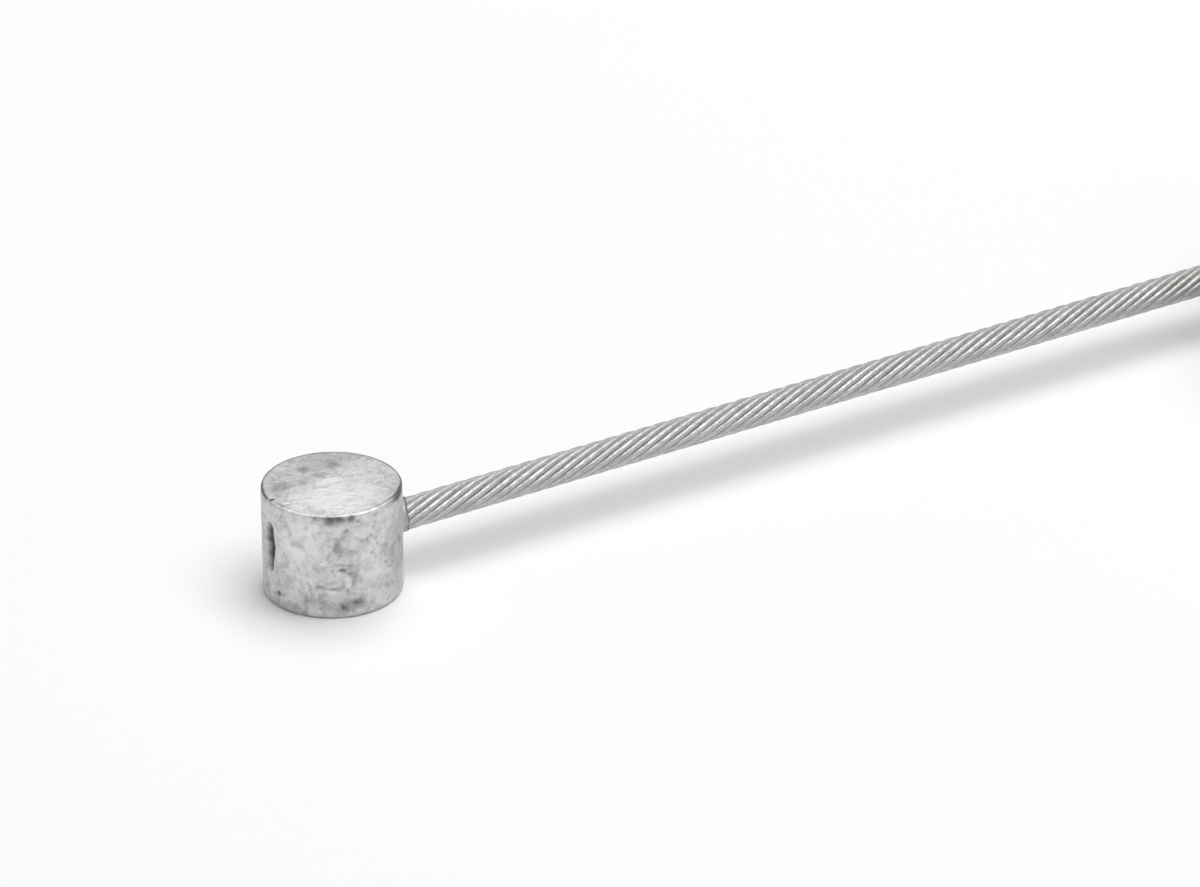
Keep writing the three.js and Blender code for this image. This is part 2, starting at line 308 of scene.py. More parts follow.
def make_cloud_group():
    """Soft blotches: a noise of a given scale, of which only the part from low to high counts, as
    a mask from 0 to 1."""
    group = bpy.data.node_groups.new("soft_blotches", "ShaderNodeTree")
    group.interface.new_socket("Vector", in_out="INPUT", socket_type="NodeSocketVector")
    for name in ("Scale", "Detail", "Swirl", "Low", "High"):
        group.interface.new_socket(name, in_out="INPUT", socket_type="NodeSocketFloat")
    group.interface.new_socket("Mask", in_out="OUTPUT", socket_type="NodeSocketFloat")
    given = group.nodes.new("NodeGroupInput").outputs
    noise = place(group, "ShaderNodeTexNoise", {
        "Vector": given["Vector"], "Scale": given["Scale"], "Detail": given["Detail"],
        "Distortion": given["Swirl"], "Roughness": 0.6,
    })
    spread = place(group, "ShaderNodeMapRange", {
        "Value": noise.outputs[0], "From Min": given["Low"], "From Max": given["High"],
    }, interpolation_type="SMOOTHSTEP")
    place(group, "NodeGroupOutput", {"Mask": spread.outputs[0]})
    return group


cloud_group = make_cloud_group()


def blotches(tree, vector, scale, low, high, detail=3.0, swirl=0.0):
    """The mask of soft blotches in a material: a noise of so many cells to each unit of its vector,
    drawn out by its swirl, of which the part from low to high counts."""
    return place(tree, "ShaderNodeGroup", {
        "Vector": vector, "Scale": scale, "Detail": detail, "Swirl": swirl, "Low": low, "High": high,
    }, node_tree=cloud_group).outputs["Mask"]


def new_material(name):
    """A new material, with its node tree and its Principled shader."""
    material = bpy.data.materials.new(name)
    material.use_nodes = True
    return material, material.node_tree, material.node_tree.nodes["Principled BSDF"]


def steel_wire_material():
    """Galvanised wire: each wire has its own shade, with drawing streaks along it, duller blotches,
    a coarse grain of zinc that breaks up its shine, and grey painted shade down in the grooves."""
    material, tree, shader = new_material("galvanised_wire")
    uv = place(tree, "ShaderNodeUVMap", {}, uv_map="around_and_along").outputs[0]
    parts = place(tree, "ShaderNodeSeparateXYZ", {0: uv}).outputs
    wire = sum_up(tree, "FLOOR", parts[0])
    across = sum_up(tree, "SUBTRACT", parts[0], wire)
    off_crest = sum_up(tree, "ABSOLUTE", scaled(tree, across, 2.0, -1.0))
    own_shade = place(tree, "ShaderNodeTexWhiteNoise", {"W": wire}, noise_dimensions="1D").outputs[0]
    streak_place = place(tree, "ShaderNodeCombineXYZ", {
        0: scaled(tree, parts[0], 3.0), 1: scaled(tree, parts[1], 0.35), 2: 0.0,
    }).outputs[0]
    streaks = blotches(tree, streak_place, 2.0, 0.35, 0.65)
    spots = blotches(tree, uv, 0.9, 0.48, 0.75, 4.0)
    grain = blotches(tree, uv, 3.2, 0.40, 0.64, 3.0, 0.5)
    shade = sum_up(tree, "ADD", scaled(tree, own_shade, 0.35), scaled(tree, streaks, 0.65))
    steel = blend(tree, shade, DARK_STEEL, LIGHT_STEEL)
    steel = blend(tree, scaled(tree, spots, 0.35), steel, DULL_SPOT)
    steel = blend(tree, scaled(tree, grain, 0.35), steel, DULL_GRAIN)
    # Painted shade: the grooves between the wires are darkened.
    groove = place(tree, "ShaderNodeMapRange", {"Value": off_crest, "From Min": 0.72, "From Max": 1.0},
                   interpolation_type="SMOOTHSTEP").outputs[0]
    steel = blend(tree, scaled(tree, groove, 0.20), steel, DIRT_AND_SHADE)
    tree.links.new(steel, shader.inputs["Base Color"])
    dull = sum_up(tree, "MAXIMUM", groove, grain)
    tree.links.new(scaled(tree, dull, 0.10, 0.54), shader.inputs["Roughness"])
    shader.inputs["Metallic"].default_value = 0.95
    relief = sum_up(tree, "ADD", scaled(tree, streaks, 0.4), scaled(tree, grain, 0.6))
    raise_skin(tree, shader, relief, 0.6, 0.02 * MM)
    return material


path = strand_path()
strand = ring_skin("strand", strand_rings(path))
ring_places = np.arange(OUTER_WIRES * POINTS_PER_WIRE + 1) / POINTS_PER_WIRE
lay_uv(strand, ring_places, distance_along(path) / MM)
# Wires are smooth, and the edges down in the grooves between them are sharp.
edge_ends = np.empty(2 * len(strand.data.edges), dtype=np.int32)
strand.data.edges.foreach_get("vertices", edge_ends)
in_grooves = (edge_ends.reshape(-1, 2) % POINTS_PER_WIRE == 0).all(axis=1)
strand.data.attributes.new("sharp_edge", "BOOLEAN", "EDGE").data.foreach_set("value", in_grooves)
strand.data.materials.append(steel_wire_material())
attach(strand, "root")
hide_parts("strand_lead", "strand_coil", "strand_tail")


# Barrel head: zinc alloy, die-cast in one piece round the strand's end. Its wall and ends keep the
# marks of the die and of handling: flow marks, small dents, pits, and the upright gate recess.
HEAD_RADIUS = 3.5 * MM
HEAD_HEIGHT = 5.75 * MM
FOOT_EDGE_RADIUS = 0.25 * MM
TOP_EDGE_RADIUS = 0.20 * MM
HEAD_SIDES = 384
FOOT_RINGS = 18
WALL_RINGS = 118
TOP_RINGS = 72
FOOT_EDGE_RINGS = 7
TOP_EDGE_RINGS = 9
INNERMOST_RING = 0.05 * MM
# In millimetres, as all the marks are: how far the top falls off, both faces' waves and the warp.
TOP_CROWN = 0.05
WALL_WAVINESS = 0.012
TOP_WAVINESS = 0.006
MARK_WARP = 0.14

LIGHT_ZINC = (0.76, 0.76, 0.76, 1)
GREY_ZINC = (0.62, 0.62, 0.62, 1)
DARK_CLOUD = (0.34, 0.337, 0.335, 1)
BRIGHT_GRAIN = (0.90, 0.90, 0.89, 1)
DARK_SPECK = (0.22, 0.21, 0.20, 1)
# The lightest zinc: rubbed metal in some marks, painted light in others.
RUBBED_AND_LIT_ZINC = (0.93, 0.93, 0.92, 1)

# Marks on the wall. A spot is: degrees round Z, height, half width, half height, depth, tone. A
# scratch is: degrees and height of one end, of the other end, half width, depth, tone. Lengths
# are millimetres. The tone is above 0 where the skin is darker, with dirt in some marks and painted
# shade in others, and below it where it is lighter, rubbed bright in some and with painted light in
# others.
WALL_SPOTS = [
    # The gate recess, with painted shade inside it.
    (179.8, 3.02, 0.31, 0.54, 0.50, 1.60),
    (178.6, 2.45, 0.22, 0.52, 0.46, 1.50),
    (178.7, 3.62, 0.28, 0.32, 0.42, 1.50),
    (178.6, 4.08, 0.25, 0.34, 0.44, 1.60),
    # A painted grey shade beyond it, and a nick in the rim over it with a painted highlight.
    (160.0, 2.90, 1.00, 2.80, 0.00, 0.16),
    (178.8, 5.60, 0.16, 0.14, 0.04, -0.90),
    # Dents under the rim, with painted shadow under the rim's edge.
    (-134.0, 5.48, 0.12, 0.20, 0.03, 0.46),
    (-122.5, 5.46, 0.24, 0.24, 0.06, 0.64),
    (-113.5, 5.50, 0.28, 0.20, 0.05, 0.56),
    (-103.5, 5.56, 0.22, 0.20, 0.04, 0.60),
    (-118.0, 5.60, 1.20, 0.13, 0.02, 0.36),
    (-114.0, 5.36, 0.90, 0.24, 0.01, 0.26),
    # Small pits and specks.
    (-170.3, 0.83, 0.15, 0.15, 0.09, 0.85),
    (-168.0, 1.05, 0.40, 0.40, 0.01, 0.16),
    (-149.5, 2.60, 0.12, 0.10, 0.05, 0.60),
    (-142.6, 2.45, 0.10, 0.10, 0.04, 0.55),
    (-148.0, 1.20, 0.16, 0.16, 0.03, 0.32),
    (-90.6, 4.22, 0.12, 0.10, 0.04, 0.50),
    (-86.7, 3.40, 0.10, 0.12, 0.04, 0.45),
    # Stains halfway up, and a shallow hollow.
    (-109.0, 4.60, 0.30, 0.42, 0.02, 0.26),
    (-115.5, 3.85, 0.34, 0.40, 0.02, 0.32),
    (-104.5, 3.62, 0.55, 0.22, 0.02, 0.26),
    (-95.0, 4.05, 0.32, 0.30, 0.02, 0.22),
    (-112.0, 2.22, 0.46, 0.34, 0.06, -0.12),
    # Darker spots near the foot.
    (-104.0, 0.74, 0.74, 0.36, 0.05, 0.52),
    (-98.5, 0.86, 0.30, 0.18, 0.03, 0.30),
    (-112.0, 0.48, 0.30, 0.30, 0.03, 0.30),
    (-124.0, 0.62, 0.45, 0.25, 0.03, 0.22),
    (-143.0, 0.42, 0.12, 0.42, 0.03, 0.40),
    (-152.0, 0.55, 0.35, 0.25, 0.02, 0.26),
    (-142.0, 0.92, 0.16, 0.12, 0.02, 0.40),
    # Painted shade on the wall towards the strand.
    (-50.0, 2.60, 0.90, 3.20, 0.00, 0.32),
    (-70.0, 2.90, 0.60, 0.50, 0.02, 0.20),
    (-72.0, 3.60, 0.50, 0.25, 0.02, 0.16),
    (-74.0, 4.90, 0.40, 0.25, 0.02, 0.16),
    (-70.0, 1.30, 1.20, 1.20, 0.00, 0.16),
    # Lighter: broad painted light on the left of the wall, and smaller lighter patches and strips.
    (-84.0, 2.40, 0.50, 0.35, 0.02, -0.22),
    (-82.0, 4.55, 0.45, 0.25, 0.02, -0.25),
    (-146.0, 4.10, 1.40, 1.50, 0.00, -0.42),
    (-138.0, 4.95, 0.70, 0.45, 0.01, -0.40),
    (-127.0, 3.05, 0.30, 0.12, 0.01, -0.50),
    (-139.0, 3.60, 0.70, 0.80, 0.01, -0.14),
    (-155.0, 2.90, 0.90, 2.10, 0.00, -0.36),
    (-125.0, 1.52, 0.55, 0.16, 0.02, -0.40),
    (-95.0, 1.30, 0.50, 0.16, 0.01, -0.30),
]
WALL_SCRATCHES = [
    # Round the shallow hollow: painted shade along its walls, a painted highlight along its lip, and
    # the long line under it.
    (-120.5, 2.66, -114.0, 2.69, 0.08, 0.03, 0.50),
    (-114.0, 2.69, -108.5, 2.66, 0.10, 0.05, 0.42),
    (-108.5, 2.62, -101.0, 2.30, 0.20, 0.06, 0.46),
    (-118.0, 3.02, -105.0, 2.88, 0.08, 0.03, 0.46),
    (-101.5, 2.30, -104.0, 1.85, 0.11, 0.04, 0.50),
    (-110.5, 2.38, -107.4, 2.28, 0.08, 0.00, -0.60),
    (-106.9, 2.24, -107.2, 1.80, 0.10, 0.00, -0.75),
    (-107.4, 1.76, -110.0, 1.62, 0.08, 0.00, -0.60),
    (-131.0, 1.80, -119.0, 1.72, 0.09, 0.05, 0.42),
    (-119.0, 1.72, -109.0, 1.66, 0.12, 0.05, 0.36),
    # Beside it, towards the recess: dark lines, and a painted highlight along one of them.
    (-141.5, 1.95, -138.0, 1.85, 0.07, 0.03, 0.46),
    (-139.5, 1.75, -137.0, 1.15, 0.08, 0.04, 0.46),
    (-136.5, 1.90, -133.5, 1.25, 0.09, 0.00, -0.60),
    (-132.5, 1.70, -131.0, 1.10, 0.08, 0.03, 0.40),
    (-137.0, 0.98, -127.0, 0.90, 0.08, 0.03, 0.34),
    # High on the wall, and one by the foot.
    (-99.0, 5.05, -87.0, 4.92, 0.06, 0.02, 0.30),
    (-109.0, 4.90, -118.0, 3.85, 0.15, 0.02, 0.36),
    (-116.0, 0.95, -110.0, 0.35, 0.09, 0.03, 0.36),
]
# Marks on the top face, likewise, with places along X and Y in millimetres.
TOP_SPOTS = [
    # Stains and a pit.
    (-0.45, 2.02, 0.36, 0.40, 0.02, 0.44),
    (1.05, 1.75, 0.38, 0.44, 0.02, 0.40),
    (-2.38, 1.05, 0.60, 0.46, 0.02, 0.40),
    (-0.11, 1.21, 0.42, 0.26, 0.02, 0.36),
    (-1.16, 0.84, 0.30, 0.22, 0.01, 0.34),
    (-0.11, -1.87, 0.45, 0.26, 0.01, 0.34),
    (2.11, -1.06, 0.14, 0.14, 0.02, 0.40),
    # Broad painted light and shade: lighter towards the front, darker towards the back and the right.
    (2.36, -1.10, 1.00, 1.50, 0.00, 0.20),
    (1.50, 2.50, 2.20, 1.00, 0.01, 0.18),
    (-1.80, 1.80, 1.00, 1.00, 0.01, 0.10),
    (0.60, -0.60, 2.80, 1.60, 0.00, -0.26),
    (0.10, 0.85, 0.90, 0.26, 0.00, 0.14),
    (-0.90, -1.70, 2.50, 1.70, 0.00, -0.95),
    # A nick at the rim with painted shade in it, the bright streak in the middle, and a stain beside
    # the nick.
    (-3.28, 0.16, 0.17, 0.16, 0.04, 1.10),
    (-0.05, 0.27, 0.58, 0.18, 0.00, -3.20),
    (0.00, 0.27, 0.80, 0.32, 0.00, -0.30),
    (-3.05, -0.70, 0.45, 0.10, 0.02, 0.30),
]
TOP_SCRATCHES = [
    (-2.40, -0.40, -1.20, -0.90, 0.06, 0.01, 0.30),
    (0.90, 0.40, 1.90, 0.10, 0.06, 0.01, 0.28),
]
# The line of painted shade where the top face meets its rounded edge: degrees round Z, strength and the
# line's radius in millimetres.
RIM_SHADE = [
    (-270, 0.80, 3.38), (-215, 1.00, 3.42), (-188, 1.20, 3.44), (-182, 1.10, 3.42), (-179, 0.05, 3.36),
    (-172, 0.80, 3.28), (-160, 0.65, 3.26), (-146, 0.70, 3.31), (-136, 0.60, 3.30), (-128, 0.05, 3.28),
    (-104, 0.05, 3.28), (-97, 0.60, 3.29), (-84, 0.40, 3.27), (-66, 0.80, 3.28), (-50, 1.10, 3.34),
    (-30, 1.20, 3.42), (0, 1.10, 3.42), (40, 0.80, 3.40), (90, 0.80, 3.38),
]
# Its half width, how far it wanders, and the height from which it shows and over which it fades in.
RIM_HALF_WIDTH = 0.055
RIM_WANDER = 0.04
RIM_LOWEST = 5.50
RIM_FADE = 0.10
# The patch of painted shade under the rim: its place, its half sizes, the radius from which it shows
# and its tone.
RIM_SHADE_PATCH_TURNED = -50
RIM_SHADE_PATCH_HALF_TURN = 12
RIM_SHADE_PATCH_HEIGHT = 5.62
RIM_SHADE_PATCH_HALF_HEIGHT = 0.15
RIM_SHADE_PATCH_RADIUS = 3.31
RIM_SHADE_PATCH_TONE = 1.6


def uneven(across, up, seed, waves, longest, shortest):
    """A gentle unevenness from -1 to 1: a sum of sine waves, from the longest to the shortest, of
    random direction and start, each as strong as it is long."""
    random = np.random.default_rng(seed)
    total, strength = np.zeros_like(across), 0.0
    for length in np.geomspace(longest, shortest, waves):
        direction, start = random.uniform(0, 2 * math.pi, 2)
        total += length * np.sin(
            2 * math.pi / length * (across * math.cos(direction) + up * math.sin(direction)) + start
        )
        strength += length
    return total / strength


def marks(across, up, spots, scratches):
    """Depth and tone fields of marks on a flat or unrolled face, in millimetres. A spot falls off as
    exp(-(distance in half sizes)^4), and a scratch as exp(-(distance from its line in half
    widths)^2). Where marks meet, the deeper one counts, and their tones add up. The face is first
    warped a little, so that no edge is straight, and the tone of the scratches is broken up."""
    depth, tone = np.zeros_like(across), np.zeros_like(across)
    broken = np.clip(0.8 + 1.3 * uneven(across, up, 13, 14, 0.9, 0.2), 0, 1.5)
    across = across + MARK_WARP * uneven(across, up, 11, 12, 1.6, 0.25)
    up = up + MARK_WARP * uneven(across, up, 12, 12, 1.6, 0.25)
    for x, y, half_width, half_height, deep, dark in spots:
        reach = ((across - x) / half_width) ** 2 + ((up - y) / half_height) ** 2
        share = np.exp(-(reach**2))
        depth = np.maximum(depth, deep * share)
        tone += dark * share
    for x0, y0, x1, y1, half_width, deep, dark in scratches:
        run, rise = x1 - x0, y1 - y0
        nearest = np.clip(((across - x0) * run + (up - y0) * rise) / (run**2 + rise**2), 0, 1)
        away = (across - x0 - nearest * run) ** 2 + (up - y0 - nearest * rise) ** 2
        share = np.exp(-away / half_width**2)
        depth = np.maximum(depth, deep * share)
        tone += dark * share * broken
    return depth, tone


def head_profile():
    """Radius and height of each ring, from the middle of the foot, out and up the wall, and in to
    the middle of the top. Both edges are quarter circles."""
    foot = HEAD_RADIUS - FOOT_EDGE_RADIUS
    top = HEAD_RADIUS - TOP_EDGE_RADIUS
    foot_turn = np.linspace(-math.pi / 2, 0, FOOT_EDGE_RINGS)[1:]
    top_turn = np.linspace(0, math.pi / 2, TOP_EDGE_RINGS)
    wall = np.linspace(FOOT_EDGE_RADIUS, HEAD_HEIGHT - TOP_EDGE_RADIUS, WALL_RINGS)[1:-1]
    radius = np.concatenate([
        np.linspace(INNERMOST_RING, foot, FOOT_RINGS),
        foot + FOOT_EDGE_RADIUS * np.cos(foot_turn),
        np.full(len(wall), HEAD_RADIUS),
        top + TOP_EDGE_RADIUS * np.cos(top_turn),
        np.linspace(top, INNERMOST_RING, TOP_RINGS)[1:],
    ])
    height = np.concatenate([
        np.zeros(FOOT_RINGS),
        FOOT_EDGE_RADIUS * (1 + np.sin(foot_turn)),
        wall,
        HEAD_HEIGHT - TOP_EDGE_RADIUS * (1 - np.sin(top_turn)),
        np.full(TOP_RINGS - 1, HEAD_HEIGHT),
    ])
    return radius, height


def from_seam(degrees):
    """Degrees round Z from -270 to 90, so that the unrolled wall's seam is at the back."""
    return degrees - 360 * (degrees > 90)


def unrolled(degrees):
    """Millimetres round the unrolled wall."""
    return math.radians(HEAD_RADIUS / MM) * from_seam(degrees)


def rim_tone(x, y, z, degrees):
    """Painted shade along the top's rim, and a patch of painted shade under it. The line's tone is its
    strength there times exp(-(distance from the line in half widths)^2), and the patch's falls off
    likewise with degrees and height. Both are uneven."""
    radius = np.hypot(x, y)
    line_degrees, line_strength, line_radius = np.transpose(RIM_SHADE)
    line = np.interp(degrees, line_degrees, line_radius) + RIM_WANDER * uneven(x, y, 9, 9, 4.0, 0.6)
    strength = np.interp(degrees, line_degrees, line_strength)
    strength = strength * (1 + 0.7 * uneven(x, y, 8, 12, 2.0, 0.3))
    strength = strength * smooth_step((z - RIM_LOWEST) / RIM_FADE)
    rim = strength * np.exp(-(((radius - line) / RIM_HALF_WIDTH) ** 2))
    round_it = np.exp(-(((degrees - RIM_SHADE_PATCH_TURNED) / RIM_SHADE_PATCH_HALF_TURN) ** 2))
    up_it = np.exp(-(((z - RIM_SHADE_PATCH_HEIGHT) / RIM_SHADE_PATCH_HALF_HEIGHT) ** 2)) * (radius > RIM_SHADE_PATCH_RADIUS)
    return rim + RIM_SHADE_PATCH_TONE * round_it * up_it * (1 + 0.6 * uneven(x, y, 7, 10, 1.5, 0.3))


def head_rings():
    """The profile turned round Z. The wall's points move inwards by the depth of its marks and the
    top's move down by theirs, and the top falls off a little towards its rim. The tone of each
    point comes with them."""
    radius, height = head_profile()
    turn = np.linspace(-math.pi, math.pi, HEAD_SIDES, endpoint=False)
    radius, turn = np.meshgrid(radius, turn, indexing="ij")
    height = np.broadcast_to(height[:, None], radius.shape)
    degrees = from_seam(np.degrees(turn))
    x, y, z = radius * np.cos(turn) / MM, radius * np.sin(turn) / MM, height / MM

    spots = [(unrolled(a), *rest) for a, *rest in WALL_SPOTS]
    scratches = [(unrolled(a), h, unrolled(b), *rest) for a, h, b, *rest in WALL_SCRATCHES]
    wall_depth, wall_tone = marks(unrolled(degrees), z, spots, scratches)
    top_depth, top_tone = marks(x, y, TOP_SPOTS, TOP_SCRATCHES)

    on_top = smooth_step((height - HEAD_HEIGHT) / (TOP_EDGE_RADIUS / 2) + 1)
    on_wall = smooth_step((radius - HEAD_RADIUS) / FOOT_EDGE_RADIUS + 1) * (1 - on_top)
    wavy = uneven(x + 2 * z, y - z, 3, 14, 5.0, 0.5)
    crown = TOP_CROWN * (radius / HEAD_RADIUS) ** 2
    inwards = on_wall * (wall_depth + WALL_WAVINESS * (wavy + 1))
    downwards = on_top * (top_depth + crown + TOP_WAVINESS * (wavy + 1))
    tone = on_wall * wall_tone + on_top * top_tone + rim_tone(x, y, z, degrees)

    radius = radius - inwards * MM
    height = height - downwards * MM
    return np.stack([radius * np.cos(turn), radius * np.sin(turn), height], axis=-1), tone


def paint_tone(piece, tone):
    """Keeps a tone for each point as the attribute tone, with 0 at a skin's two end points."""
    values = np.zeros(len(piece.data.vertices), dtype=np.float32)
    values[:tone.size] = tone.ravel()
    piece.data.attributes.new("tone", "FLOAT", "POINT").data.foreach_set("value", values)


def cast_zinc_material():
    """Die-cast zinc with a dull skin: cloudy light and dark greys, fine dark specks, a pebbled
    grain, dirt and painted shade where the tone is above 0, and rubbed metal and painted light where it
    is below."""
    material, tree, shader = new_material("die_cast_zinc")
    place_on = place(tree, "ShaderNodeTexCoord", {}).outputs["Object"]
    tone = place(tree, "ShaderNodeAttribute", {}, attribute_name="tone").outputs["Fac"]
    broad = blotches(tree, place_on, 420.0, 0.35, 0.68)
    middling = blotches(tree, place_on, 1300.0, 0.42, 0.68, 4.0, 0.6)
    fine = blotches(tree, place_on, 3600.0, 0.42, 0.66, 2.0, 0.4)
    specks = blotches(tree, place_on, 3000.0, 0.58, 0.72, 2.0)
    zinc = blend(tree, broad, GREY_ZINC, LIGHT_ZINC)
    zinc = blend(tree, scaled(tree, middling, 0.50), zinc, DARK_CLOUD)
    zinc = blend(tree, scaled(tree, fine, 0.42), zinc, BRIGHT_GRAIN)
    zinc = blend(tree, scaled(tree, specks, 0.45), zinc, DARK_SPECK)
    # Above 0 the tone darkens the zinc: dirt in some marks, painted shade in others. Below 0 it
    # lightens it: rubbed metal in some, painted light in others.
    dark = sum_up(tree, "MULTIPLY", tone, 1.0, clamped=True)
    bright = sum_up(tree, "MULTIPLY", tone, scaled(tree, middling, 0.75, -1.0), clamped=True)
    zinc = blend(tree, scaled(tree, dark, 0.9), zinc, DIRT_AND_SHADE)
    zinc = blend(tree, bright, zinc, RUBBED_AND_LIT_ZINC)
    tree.links.new(zinc, shader.inputs["Base Color"])
    tree.links.new(scaled(tree, middling, 0.14, 0.40), shader.inputs["Roughness"])
    shader.inputs["Metallic"].default_value = 0.3
    shader.inputs["Specular IOR Level"].default_value = 0.25
    grain = sum_up(tree, "ADD", scaled(tree, middling, 0.7), scaled(tree, fine, 0.3))
    raise_skin(tree, shader, grain, 0.6, 0.045 * MM)
    return material


cast_zinc = cast_zinc_material()
rings, head_tone = head_rings()
head = ring_skin("head", rings)
paint_tone(head, head_tone)
head.data.materials.append(cast_zinc)
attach(head, "root")
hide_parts("barrel_head")


# Collar: the same zinc, a thin skin that ran out of the die along the strand. It flares into the
# barrel's wall, and its free end is a ragged, slanting edge that lies on the wires.
COLLAR_RADIUS = 0.9 * MM
COLLAR_SLANT = 0.4
COLLAR_ROOT_DEPTH = 0.35 * MM
COLLAR_RAGGEDNESS = 0.12 * MM
COLLAR_SIDES = 96
# Share of the way from the root to the free end, and radius in millimetres.
COLLAR_PROFILE = [
    (0.00, 0.77), (0.50, 0.77), (0.97, 0.77), (1.00, 0.79), (1.00, 0.82), (0.97, 0.84),
    (0.85, 0.855), (0.60, 0.85), (0.45, 0.85), (0.32, 0.85), (0.22, 0.86), (0.12, 0.88), (0.00, 0.92),
]


def collar_rings():
    """The thin closed profile turned round the strand. Its free end is drawn back by the slant times
    how far y lies short of the collar's radius, with a little raggedness, and its outside swells
    and sinks a little."""
    share, radius = np.transpose(COLLAR_PROFILE)
    turn = np.linspace(0, 2 * math.pi, COLLAR_SIDES, endpoint=False)[:, None]
    ragged = uneven(3 * np.cos(turn), 3 * np.sin(turn), 5, 12, 3.0, 0.5)
    radius = radius * MM * (1 + 0.02 * ragged * (radius > 0.8))
    y, z = radius * np.cos(turn), radius * np.sin(turn)
    root = HEAD_RADIUS - COLLAR_ROOT_DEPTH
    end = COLLAR_END - COLLAR_SLANT * (COLLAR_RADIUS - y) + COLLAR_RAGGEDNESS * (ragged - 0.6)
    return np.stack([root + share * (end - root), y, z + EXIT_HEIGHT], axis=-1)


def collar_tone():
    """A little darker all over, and painted shade towards the free end, where it lies on the wires."""
    share = np.transpose(COLLAR_PROFILE)[0]
    lip = np.exp(-(((share - 1) / 0.12) ** 2))
    return np.broadcast_to(0.8 * lip + 0.25, (COLLAR_SIDES, len(lip)))


collar = ring_skin("collar", collar_rings(), looped=True)
paint_tone(collar, collar_tone())
collar.data.materials.append(cast_zinc)
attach(collar, "root")


# Fused tip: the far end of the same wires, melted together at the factory so that they don't fray,
# and a little swollen. Heat has left it dull and brownish.
TIP_RADIUS = 0.85 * MM
TIP_OVERLAP = 0.4 * MM
TIP_START_RADIUS = 0.93 * strand_radius
TIP_SWELL_LENGTH = 1.4 * MM
RIDGE_HEIGHT = 0.025
RIDGE_FADE_LENGTH = 2.6 * MM
TIP_SIDES = 72
TIP_RINGS = 24
DOME_RINGS = 10

STRAW_STEEL = (0.30, 0.25, 0.19, 1)
BLUE_GREY_STEEL = (0.34, 0.35, 0.37, 1)
DARK_PIT = (0.12, 0.11, 0.10, 1)


def tip_rings():
    """A bar in line with the end of the strand. Its radius eases from the strand's to the tip's,
    with faint ridges left by the wires, and it ends in a half circle."""
    start = path[-1]
    forward = unit(path[-1] - path[-3])
    sideways = unit(np.cross(forward, (0, 0, 1)))
    upwards = np.cross(forward, sideways)
    straight = np.linspace(-TIP_OVERLAP, TIP_LENGTH - TIP_RADIUS, TIP_RINGS)
    dome = np.linspace(0, math.pi / 2, DOME_RINGS, endpoint=False)[1:]
    along = np.concatenate([straight, TIP_LENGTH - TIP_RADIUS + TIP_RADIUS * np.sin(dome)])
    melted = smooth_step((straight + TIP_OVERLAP) / TIP_SWELL_LENGTH)
    radius = np.concatenate([
        TIP_START_RADIUS + (TIP_RADIUS - TIP_START_RADIUS) * melted,
        TIP_RADIUS * np.cos(dome),
    ])
    turn = np.linspace(0, 2 * math.pi, TIP_SIDES, endpoint=False)
    ridge = RIDGE_HEIGHT * np.cos(OUTER_WIRES * (turn + 2 * math.pi * along[:, None] / WIRE_PITCH))
    fade = 1 - smooth_step((along[:, None] + TIP_OVERLAP) / RIDGE_FADE_LENGTH)
    radius = radius[:, None] * (1 + ridge * fade)
    return (
        start
        + along[:, None, None] * forward
        + (radius * np.cos(turn))[..., None] * sideways
        + (radius * np.sin(turn))[..., None] * upwards
    )


def fused_steel_material():
    """Melted steel: grey-brown, with straw and blue-grey clouds and a rough, slightly pitted skin."""
    material, tree, shader = new_material("fused_steel")
    place_on = place(tree, "ShaderNodeTexCoord", {}).outputs["Object"]
    tint = blotches(tree, place_on, 900.0, 0.35, 0.65)
    pits = blotches(tree, place_on, 4200.0, 0.5, 0.7)
    steel = blend(tree, tint, STRAW_STEEL, BLUE_GREY_STEEL)
    steel = blend(tree, scaled(tree, pits, 0.6), steel, DARK_PIT)
    tree.links.new(steel, shader.inputs["Base Color"])
    tree.links.new(scaled(tree, pits, 0.25, 0.38), shader.inputs["Roughness"])
    shader.inputs["Metallic"].default_value = 0.9
    raise_skin(tree, shader, pits, 0.6, -0.03 * MM)
    return material


tip = ring_skin("tip", tip_rings())
tip.data.materials.append(fused_steel_material())
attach(tip, "root")
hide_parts("fused_tip")


# Ties: two straps of natural nylon, pulled tight round the bundle of turns and snapped off beside
# their locks. The first one also holds the strand's last stretch down on the coil.
TIE_WIDTH = 2.5 * MM
TIE_GAP = 0.3 * MM
TIE_THICKNESS = 0.7 * MM
TIE_EDGE_RADIUS = 0.18 * MM
FIRST_TIE_TURNED = math.radians(12)
TIE_SPREAD = math.radians(160)
LOCK_SIZE = np.array([3.2, 3.3, 2.3]) * MM
LOCK_CORNER = 0.45 * MM
CUT_END_LENGTH = 1.1 * MM
CUT_END_WIDTH = 1.8 * MM
CUT_END_THICKNESS = 0.5 * MM
CUT_END_RINGS = 45
CUT_END_SIDES = 24
CUT_END_SQUARENESS = 0.35
TOOTH_PITCH = 0.36 * MM
TOOTH_DEPTH = 0.5
STRAP_STEPS = 144
STRAP_EDGE_STEPS = 4
LOCK_CORNER_STEPS = 6

CLEAR_NYLON = (0.86, 0.85, 0.80, 1)
CLOUDY_NYLON = (0.78, 0.77, 0.71, 1)


def rounded(corners, radius, steps):
    """A closed line along an outline, with each corner replaced by the parabola that leaves its two
    sides at the radius from it."""
    start = corners + radius * unit(np.roll(corners, 1, axis=0) - corners)
    end = corners + radius * unit(np.roll(corners, -1, axis=0) - corners)
    share = np.linspace(0, 1, steps)[None, :, None]
    curve = (
        (1 - share) ** 2 * start[:, None]
        + 2 * share * (1 - share) * corners[:, None]
        + share**2 * end[:, None]
    )
    return curve.reshape(-1, 2)


